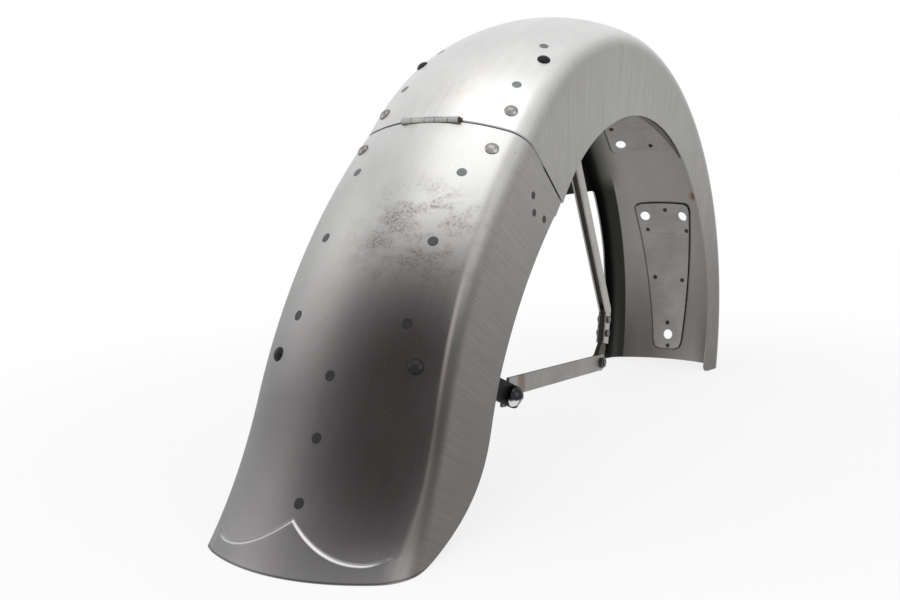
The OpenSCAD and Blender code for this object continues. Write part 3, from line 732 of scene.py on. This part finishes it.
# Colours of the sheet, with painted light and shade: lighter up on the crown, darker lower down, on the
# walls and inside. Each "From" pair is the height or width, in metres, over which it changes
shellFinish = {
    "top": (0.66, 0.655, 0.65), "middle": (0.33, 0.326, 0.322), "low": (0.200, 0.196, 0.194),
    "topFrom": (0.20, 0.40), "middleFrom": (0.09, 0.27),
    "wallTop": (0.325, 0.320, 0.312), "wallLow": (0.188, 0.178, 0.171), "wallFrom": (0.05, 0.36),
    "tailWallShade": (0.02, 0.018, 0.016), "tailWallShadeBy": 0.14,
    "insideTop": (0.265, 0.260, 0.250), "insideLow": (0.175, 0.165, 0.158), "insideFrom": (0.03, 0.20),
    "paintedInsideShade": (0.030, 0.029, 0.0275), "crispFrom": (0.0655, 0.0675), "softFrom": (0.050, 0.084),
    "shadeFrom": (0.040, 0.068), "bandTopFrom": (0.252, 0.282),
    "roughness": 0.36,
}
# Marks on the sheet, real ones and painted shade, painted reflection and painted highlight: their colours,
# and each one's centre and size
marks = {
    "oil": (0.034, 0.0312, 0.0302), "grease": (0.085, 0.070, 0.058), "wax": (0.60, 0.54, 0.42),
    "rust": (0.19, 0.075, 0.030), "ridge": (0.80, 0.79, 0.78), "streak": (0.33, 0.285, 0.265),
    "darkReflectionAt": ((-0.345, -0.066, 0.110), (0.20, 0.098, 0.200)),
    "faintReflectionAt": ((-0.355, -0.010, 0.120), (0.20, 0.115, 0.180)), "faintReflectionBy": 0.55,
    "smearAt": ((-0.284, -0.040, 0.246), (0.070, 0.085, 0.075)), "smearBy": 0.75, "smearFilmBy": 0.22,
    "waxAt": ((-0.160, -0.008, 0.380), (0.045, 0.040, 0.045)), "waxBy": 0.55,
    "rustAt": ((0.392, -0.052, 0.248), (0.014, 0.010, 0.009)),
    "hemRise": (0.0006, 0.0012), "hemFall": (0.0014, 0.0024), "hemBy": 0.7,
    "plateShadowBy": 0.65, "dotsBy": 0.6, "lipHighlight": (0.0002, 0.0011),
}
# Outlines of the plates inside the crown, where a shadow line is painted along the joint
plateEdge = {"mount": (-12.8, 22.9, 0.021, 0.043), "saddle": (37.2, 52.0, 0.057, 0.057),
             "corner": 0.009, "line": 0.0018, "shift": 0.0010, "inset": 0.004}


def plateShadowLine(tree, at, low, high, lowHalf, highHalf):  # a painted shadow line around a plate's outline
    e = plateEdge
    radius = shell["crownRadius"] - e["inset"]
    x = maths(tree, "ADD", at["x"], middleX)
    z = maths(tree, "SUBTRACT", at["z"], shell["wheelHeight"])
    angle = maths(tree, "ARCTAN2", z, x)
    k = times(tree, maths(tree, "SUBTRACT", angle, radians(low)), 1/radians(high - low))
    half = maths(tree, "ADD", times(tree, k, highHalf - lowHalf), lowHalf - e["corner"])
    across = maths(tree, "ABSOLUTE", maths(tree, "SUBTRACT", at["y"], e["shift"]))
    across = maths(tree, "SUBTRACT", across, half)
    along = maths(tree, "ABSOLUTE", maths(tree, "SUBTRACT", angle, radians((low + high)/2)))
    along = maths(tree, "SUBTRACT", times(tree, along, radius), radians(high - low)/2*radius - e["corner"])
    outer = tree.nodes.new("ShaderNodeCombineXYZ")
    tree.links.new(maths(tree, "MAXIMUM", across, 0), outer.inputs[0])
    tree.links.new(maths(tree, "MAXIMUM", along, 0), outer.inputs[1])
    off = maths(tree, "SUBTRACT", lengthOf(tree, outer.outputs[0]), e["corner"])
    return ranged(tree, maths(tree, "ABSOLUTE", off), e["line"]*0.5, e["line"], 1.0, 0.0)


def lipHighlight(tree, at):  # a thin painted highlight along the two scallops above the lip
    s = lipStep
    y = maths(tree, "ABSOLUTE", at["y"])
    rise = maths(tree, "MAXIMUM", times(tree, maths(tree, "SUBTRACT", s["lobe"], y), 1/s["lobe"]), 0)
    line = times(tree, maths(tree, "POWER", rise, s["power"]), s["peak"] - s["low"])
    past = maths(tree, "MAXIMUM", times(tree, maths(tree, "SUBTRACT", y, s["lobe"]), 1/s["endSpan"]), 0)
    line = maths(tree, "ADD", line, times(tree, past, past, s["endRise"]))
    off = maths(tree, "SUBTRACT", at["z"], maths(tree, "ADD", line, s["low"]))
    mask = ranged(tree, maths(tree, "ABSOLUTE", off), *marks["lipHighlight"], 1.0, 0.0)
    mask = times(tree, mask, ranged(tree, y, 0.068, 0.082, 1.0, 0.0))
    # The painted highlight is stronger on the right lobe, which catches more light than the left
    return times(tree, mask, ranged(tree, at["y"], -0.012, 0.012, 0.62, 0.28))


def insideColor(tree, at, tail):
    c = shellFinish
    # Painted shade: the inside is darker towards the bottom and darker on the walls
    color = tint(tree, ranged(tree, at["z"], *c["insideFrom"]), c["insideLow"], c["insideTop"])
    if tail:
        return tint(tree, ranged(tree, at["wall"], 0.0, 0.8, 0.0, 0.45), color, c["paintedInsideShade"])
    # Painted shade: a dark band follows the openings in the walls, with a crisp edge where the corner
    # starts, and it darkens low down
    side = maths(tree, "ABSOLUTE", at["y"])
    shade = times(tree, ranged(tree, side, *c["shadeFrom"]), ranged(tree, at["z"], 0.01, 0.09, 0.50, 0.10))
    color = tint(tree, shade, color, c["paintedInsideShade"])
    soft = tint(tree, ranged(tree, side, *c["softFrom"], 0.0, 0.85), color, c["paintedInsideShade"])
    crisp = tint(tree, ranged(tree, side, *c["crispFrom"]), color, c["paintedInsideShade"])
    color = tint(tree, ranged(tree, at["z"], *c["bandTopFrom"]), crisp, soft)
    plateShadow = maths(tree, "MAXIMUM", plateShadowLine(tree, at, *plateEdge["mount"]),
                  plateShadowLine(tree, at, *plateEdge["saddle"]))
    color = tint(tree, times(tree, plateShadow, marks["plateShadowBy"]), color, marks["oil"])
    rust = times(tree, blob(tree, at["point"], *marks["rustAt"]), ranged(tree, at["patches"], 0.36, 0.50))
    return tint(tree, rust, color, marks["rust"])


def outsideColor(tree, at, tail):  # painted light and shade: bright on the upper crown where light falls, plainer below, greyer and darker on the walls
    c = shellFinish
    color = tint(tree, ranged(tree, at["z"], *c["middleFrom"]), c["low"], c["middle"])
    color = tint(tree, ranged(tree, at["z"], *c["topFrom"]), color, c["top"])
    walls = tint(tree, ranged(tree, at["z"], *c["wallFrom"]), c["wallLow"], c["wallTop"])
    if tail:
        walls = tint(tree, c["tailWallShadeBy"], walls, c["tailWallShade"])
    return tint(tree, ranged(tree, at["wall"], 0.2, 0.9), color, walls)


def tailMarks(tree, at, color):
    m = marks
    notWall = ranged(tree, at["wall"], 0.45, 1.0, 1.0, 0.0)
    # Painted dark reflection over the lower middle of the tail, and a fainter one across it
    darkReflection = times(tree, blob(tree, at["point"], *m["darkReflectionAt"]), notWall)
    darkReflection = times(tree, darkReflection, ranged(tree, at["z"], 0.004, 0.030, 0.45, 0.92))
    darkReflection = maths(tree, "MULTIPLY", darkReflection, lifted(tree, at["cloud"], 0.5), clamp=True)
    color = tint(tree, darkReflection, color, m["oil"])
    faintReflection = times(tree, blob(tree, at["point"], *m["faintReflectionAt"]), notWall, m["faintReflectionBy"])
    color = tint(tree, faintReflection, color, m["oil"])
    # Grease smears, made of fine specks that crowd together in places
    specks = noise(tree, at["point"], 430.0, 4.0, 0.75)
    crowds = noise(tree, mapped(tree, at["point"], scale=(1, 1, 1.6)), 48.0, 3.0, 0.7)
    dense = times(tree, blob(tree, at["point"], *m["smearAt"]), ranged(tree, crowds, 0.40, 0.66))
    smear = times(tree, dense, ranged(tree, specks, 0.48, 0.60), m["smearBy"])
    color = tint(tree, smear, color, m["grease"])
    color = tint(tree, times(tree, dense, m["smearFilmBy"]), color, m["grease"])
    # Painted highlight down the right corner, a painted highlight line over the lip, and the painted shadow
    # line of the hem
    streak = times(tree, between(tree, at["wall"], (0.17, 0.27), (0.27, 0.42)),
                   ranged(tree, at["y"], -0.05, 0.0, 0.45, 0.12),
                   ranged(tree, at["z"], 0.10, 0.19, 0.22, 1.0),
                   ranged(tree, at["z"], 0.23, 0.27, 1.0, 0.3))
    color = tint(tree, streak, color, m["streak"])
    color = tint(tree, lipHighlight(tree, at), color, m["ridge"])
    hem = between(tree, at["z"], m["hemRise"], m["hemFall"])
    return tint(tree, times(tree, hem, m["hemBy"]), color, m["oil"])


def waxMarks(tree, at, color):
    wax = times(tree, blob(tree, at["point"], *marks["waxAt"]), ranged(tree, at["patches"], 0.50, 0.60))
    return tint(tree, times(tree, wax, marks["waxBy"]), color, marks["wax"])


def brushLines(tree, at, turn):  # along the wall at one slope, and faintly along the crown
    turned = mapped(tree, at["point"], turn=(0, turn, 0))
    wallBrush = noise(tree, mapped(tree, turned, scale=(14, 30, 820)), 1.0, 3.0, 0.65)
    crownBrush = noise(tree, mapped(tree, at["point"], scale=(12, 760, 12)), 1.0, 3.0, 0.6)
    brush = tree.nodes.new("ShaderNodeMix")
    tree.links.new(at["wall"], brush.inputs[0])
    tree.links.new(crownBrush, brush.inputs[2])
    tree.links.new(wallBrush, brush.inputs[3])
    return brush.outputs[0]


def pinheadSpots(tree, at):
    dots = node(tree, "ShaderNodeTexVoronoi", Scale=95.0)
    tree.links.new(at["point"], dots.inputs["Vector"])
    return times(tree, ranged(tree, dots.outputs["Distance"], 0.05, 0.12, 1.0, 0.0),
                 ranged(tree, at["patches"], 0.54, 0.64))


def shellSteel(material, turn, tail, inside):
    roughness = shellFinish["roughness"]
    tree, surface = metalTree(material, 1.0, roughness)
    point = objectPoint(tree)
    x, y, z = axes(tree, point)
    at = {"point": point, "x": x, "y": y, "z": z,
          "wall": node(tree, "ShaderNodeAttribute", attribute_name="wall").outputs["Fac"],
          "cloud": noise(tree, mapped(tree, point, scale=(1, 1.6, 1)), 9.0, 5.0, 0.62),
          "patches": noise(tree, point, 34.0, 5.0, 0.7)}
    lines = brushLines(tree, at, turn)
    if inside:
        color = insideColor(tree, at, tail)
    else:
        color = outsideColor(tree, at, tail)
        color = tailMarks(tree, at, color) if tail else waxMarks(tree, at, color)
    color = tint(tree, times(tree, pinheadSpots(tree, at), marks["dotsBy"]), color, marks["grease"])
    # Slow cloudiness all over, and brush lines that are stronger on the walls
    contrast = ranged(tree, at["wall"], 0.3, 1.0, 0.22, 0.75)
    streaks = maths(tree, "ADD", times(tree, maths(tree, "SUBTRACT", lines, 0.5), contrast), 1.0)
    tone = times(tree, lifted(tree, at["cloud"], 0.30), streaks, lifted(tree, at["patches"], 0.16))
    tree.links.new(scaledColor(tree, color, tone), surface.inputs["Base Color"])
    rough = maths(tree, "ADD", times(tree, at["cloud"], 0.16), times(tree, lines, 0.14))
    tree.links.new(maths(tree, "ADD", rough, roughness - 0.12), surface.inputs["Roughness"])
    fine = noise(tree, point, 900.0, 2.0)
    bumped(tree, surface, maths(tree, "ADD", lines, times(tree, fine, 0.35)), 0.00006, 0.6)


def plainSteel(name, color, dark, roughness, metallic=1.0, streak=(30, 30, 900), rust=0.0):
    material = bpy.data.materials.new(name)
    tree, surface = metalTree(material, metallic, roughness)
    point = objectPoint(tree)
    cloud = noise(tree, point, 22.0, 5.0, 0.65)
    lines = noise(tree, mapped(tree, point, scale=streak), 1.0, 2.0, 0.6)
    pits = noise(tree, point, 420.0, 3.0, 0.7)
    base = tint(tree, ranged(tree, cloud, 0.32, 0.70), dark, color)
    base = tint(tree, ranged(tree, pits, 0.62, 0.72, 0.0, 0.6), base, dark)
    if rust:
        patches = times(tree, ranged(tree, cloud, 0.50, 0.62), rust)
        base = tint(tree, patches, base, (0.17, 0.07, 0.03))
    base = scaledColor(tree, base, lifted(tree, lines, 0.30))
    tree.links.new(base, surface.inputs["Base Color"])
    rough = maths(tree, "ADD", times(tree, cloud, 0.2), roughness - 0.1)
    tree.links.new(rough, surface.inputs["Roughness"])
    bumped(tree, surface, maths(tree, "ADD", pits, lines), 0.00008, 0.45)
    return material


evenGrain = (90, 90, 90)  # a grain with no direction
finishes = {
    "plate_steel": plainSteel("rolledPlateSteel", (0.43, 0.420, 0.405), (0.35, 0.34, 0.325), 0.42),
    # Painted shade: the plates inside the crown take a darker copy of the plate steel
    "innerPlate": plainSteel("shadedInnerPlateSteel", (0.300, 0.294, 0.285), (0.235, 0.228, 0.220), 0.42),
    "linkBar": plainSteel("linkBarSteel", (0.31, 0.300, 0.290), (0.25, 0.24, 0.23), 0.42),
    # Painted shade: the arch doubler takes a much darker copy of the plate steel
    "doubler": plainSteel("shadedDoubler", (0.135, 0.125, 0.115), (0.085, 0.076, 0.068), 0.5, 0.9),
    # Painted shade: a near-black copy of the weld plug steel for the plugs on the tail walls and inside the
    # crown
    "darkPlug": plainSteel("shadedWeldPlug", (0.050, 0.046, 0.045), (0.025, 0.022, 0.021), 0.42, 0.9,
                           evenGrain),
    "hinge_steel": plainSteel("turnedHingeSteel", (0.42, 0.415, 0.41), (0.30, 0.29, 0.28), 0.38,
                              streak=(700, 40, 700)),
    "rivet_steel": plainSteel("oiledBoltSteel", (0.17, 0.168, 0.17), (0.07, 0.066, 0.064), 0.34,
                              streak=evenGrain),
    "lightRivet": plainSteel("wornRivetSteel", (0.40, 0.39, 0.385), (0.20, 0.19, 0.185), 0.34,
                             streak=evenGrain),
    "darkRivet": plainSteel("oiledRivetSteel", (0.032, 0.030, 0.030), (0.015, 0.014, 0.014), 0.40,
                            streak=evenGrain),
    "dark_steel": plainSteel("forgedScale", (0.085, 0.075, 0.068), (0.035, 0.028, 0.025), 0.48, 0.8,
                             (60, 60, 60), 0.7),
    "black_paint": plainSteel("blackOxide", (0.006, 0.006, 0.007), (0.003, 0.003, 0.0035), 0.34, 0.0,
                              (50, 50, 50)),
}
finishes["black_paint"].node_tree.nodes["Principled BSDF"].inputs["Specular IOR Level"].default_value = 0.07


def domePaintedReflection():  # painted reflection: dark above, with bright crescents painted below where it would mirror the floor
    material = bpy.data.materials.new("domeSteelPaintedReflection")
    tree, surface = metalTree(material, 1.0, 0.12)
    facing = axes(tree, tree.nodes.new("ShaderNodeTexCoord").outputs["Normal"])
    point = objectPoint(tree)
    wave = times(tree, maths(tree, "SUBTRACT", noise(tree, point, 240.0, 3.0), 0.5), 0.5)
    down = ranged(tree, maths(tree, "ADD", facing["Z"], wave), -0.42, -0.12, 1.0, 0.0)
    sideways = maths(tree, "ABSOLUTE", maths(tree, "ADD", facing["X"], 0.28))
    split = ranged(tree, sideways, 0.05, 0.20, 0.25, 1.0)
    color = tint(tree, times(tree, down, split), (0.028, 0.028, 0.030), (0.72, 0.73, 0.74))
    tree.links.new(color, surface.inputs["Base Color"])
    tree.links.new(maths(tree, "ADD", times(tree, noise(tree, point, 90.0), 0.14), 0.06),
                   surface.inputs["Roughness"])
    bumped(tree, surface, noise(tree, point, 600.0, 2.0), 0.00003, 0.3)
    return material


def heatTint(material, centre, size):  # a brown band where a bar was bent hot
    tree = material.node_tree
    surface = tree.nodes["Principled BSDF"]
    base = surface.inputs["Base Color"].links[0].from_socket
    band = times(tree, blob(tree, objectPoint(tree), centre, size), 0.75)
    tree.links.new(tint(tree, band, base, (0.17, 0.105, 0.075)), surface.inputs["Base Color"])


heatTint(finishes["linkBar"], (-0.196, -0.086, 0.107), (0.011, 0.030, 0.030))
finishes["bright_plate"] = domePaintedReflection()


def plugSteel():  # painted light and shade: blue grey up on the bright crown, nearly black lower down
    material = bpy.data.materials.new("weldPlugSteel")
    tree, surface = metalTree(material, 0.9, 0.42)
    point = objectPoint(tree)
    height = axes(tree, point)["Z"]
    base = tint(tree, ranged(tree, height, 0.19, 0.36), (0.030, 0.028, 0.028), (0.17, 0.18, 0.185))
    base = scaledColor(tree, base, lifted(tree, noise(tree, point, 260.0, 3.0), 0.6))
    tree.links.new(base, surface.inputs["Base Color"])
    bumped(tree, surface, noise(tree, point, 500.0, 3.0), 0.0001, 0.5)
    return material


def paint(piece, material):
    piece.data.materials.clear()
    piece.data.materials.append(material)


brushTurn = {"front": 90, "tail": -33}  # the slope of the brush lines on the walls, in degrees
for skin, body in ((frontSkin, "front"), (tailSkin, "tail")):
    for slotIndex in (0, 1):
        shellSteel(skin.data.materials[slotIndex], brushTurn[body], body == "tail", slotIndex == 1)
plugFinish = plugSteel()
for piece in (tailPlugPiece, frontPlugPiece):
    paint(piece, plugFinish)
for piece in (wallPlugPiece, innerPlugPiece):
    paint(piece, finishes["darkPlug"])
for piece in rivetPieces:
    paint(piece, finishes[piece["finish"]])
special = {"mounting_plate": "innerPlate", "saddle_plate": "innerPlate", "arch_doubler": "doubler",
           "lower_link_left": "linkBar", "lower_link_right": "linkBar"}
paint(boltPiece, finishes["bright_plate"])
for name, piece in eased.items():
    paint(piece, finishes[special.get(name, piece["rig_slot"])])

# Pale floor that fades into the white surroundings, with soft studio light
print("floor, light and camera")
studio = {"floorHalf": 14.0, "floorTone": 0.9, "fadeFrom": 0.40, "fadeTo": 1.1, "nearWhite": 0.80,
          "ambient": 0.62}


def seenDirectly(tree):  # 1 for what the camera, a reflection or clear matter shows
    rays = tree.nodes.new("ShaderNodeLightPath")
    seen = maths(tree, "MAXIMUM", rays.outputs["Is Camera Ray"], rays.outputs["Is Glossy Ray"])
    return maths(tree, "MAXIMUM", seen, rays.outputs["Is Transmission Ray"])


def mixedShader(tree, factor, first, second):
    made = tree.nodes.new("ShaderNodeMixShader")
    for i, source in enumerate((factor, first, second)):
        tree.links.new(source, made.inputs[i])
    return made.outputs[0]


def studioFloor():
    bm = bmesh.new()
    bmesh.ops.create_grid(bm, x_segments=2, y_segments=2, size=studio["floorHalf"])
    floor = placed("studioFloor", meshOf("studioFloor", bm))
    material = bpy.data.materials.new("paleFloor")
    material.use_nodes = True
    tree = material.node_tree
    tree.nodes.clear()
    matt = tree.nodes.new("ShaderNodeBsdfDiffuse")
    tone = studio["floorTone"]
    matt.inputs["Color"].default_value = (tone, tone, tone, 1)
    glow = tree.nodes.new("ShaderNodeEmission")
    glow.inputs["Color"].default_value = (1, 1, 1, 1)
    white = mixedShader(tree, seenDirectly(tree), matt.outputs[0], glow.outputs[0])
    far = ranged(tree, lengthOf(tree, objectPoint(tree)), studio["fadeFrom"], studio["fadeTo"],
                 studio["nearWhite"], 1.0)
    output = tree.nodes.new("ShaderNodeOutputMaterial")
    tree.links.new(mixedShader(tree, far, matt.outputs[0], white), output.inputs["Surface"])
    floor.data.materials.append(material)


def whiteWorld():
    world = bpy.data.worlds.new("studioWorld")
    bpy.context.scene.world = world
    world.use_nodes = True
    tree = world.node_tree
    background = tree.nodes["Background"]
    background.inputs["Color"].default_value = (1, 1, 1, 1)
    strength = times(tree, seenDirectly(tree), 1 - studio["ambient"])
    tree.links.new(maths(tree, "ADD", strength, studio["ambient"]), background.inputs["Strength"])


def softbox(name, place, target, size, power):
    light = bpy.data.lights.new(name, "AREA")
    light.shape = "RECTANGLE"
    light.size, light.size_y = size
    light.energy = power
    lamp = placed(name, light)
    aim = Vector(target) - Vector(place)
    lamp.matrix_world = Matrix.Translation(place) @ aim.to_track_quat("-Z", "Y").to_matrix().to_4x4()


studioFloor()
whiteWorld()
softbox("topSoftbox", (-0.5, -0.1, 1.9), (0, 0, 0.3), (1.6, 1.2), 7.5)
softbox("rightSoftbox", (-0.6, -1.9, 0.9), (0, 0, 0.25), (1.4, 1.2), 9)
softbox("leftSoftbox", (-0.9, 1.7, 1.1), (0, 0, 0.25), (1.2, 1.2), 6)

# The camera stands where the photograph was taken, behind the right of the fender
view = {"place": (-0.97548, -0.51209, 0.31377), "turn": 24.642, "tilt": -8.736, "roll": -0.687,
        "focal": 994.47, "axisX": 589.67, "axisY": 303.56, "width": 900, "height": 600, "sensor": 36}


def photoCamera():
    turn, tilt, roll = (radians(view[k]) for k in ("turn", "tilt", "roll"))
    ahead = Vector((cos(tilt)*cos(turn), cos(tilt)*sin(turn), sin(tilt)))
    right = ahead.cross(Vector((0, 0, 1))).normalized()
    up = right.cross(ahead)
    right, up = right*cos(roll) + up*sin(roll), up*cos(roll) - right*sin(roll)
    data = bpy.data.cameras.new("photoCamera")
    data.sensor_width = view["sensor"]
    data.lens = view["focal"]/view["width"]*view["sensor"]
    data.shift_x = (view["width"]/2 - view["axisX"])/view["width"]
    data.shift_y = (view["axisY"] - view["height"]/2)/view["width"]
    data.clip_start = 0.01
    camera = placed("photoCamera", data)
    facing = Matrix((right, up, -ahead)).transposed().to_4x4()
    camera.matrix_world = Matrix.Translation(view["place"]) @ facing
    bpy.context.scene.camera = camera


photoCamera()
bpy.context.scene.view_settings.view_transform = "Standard"
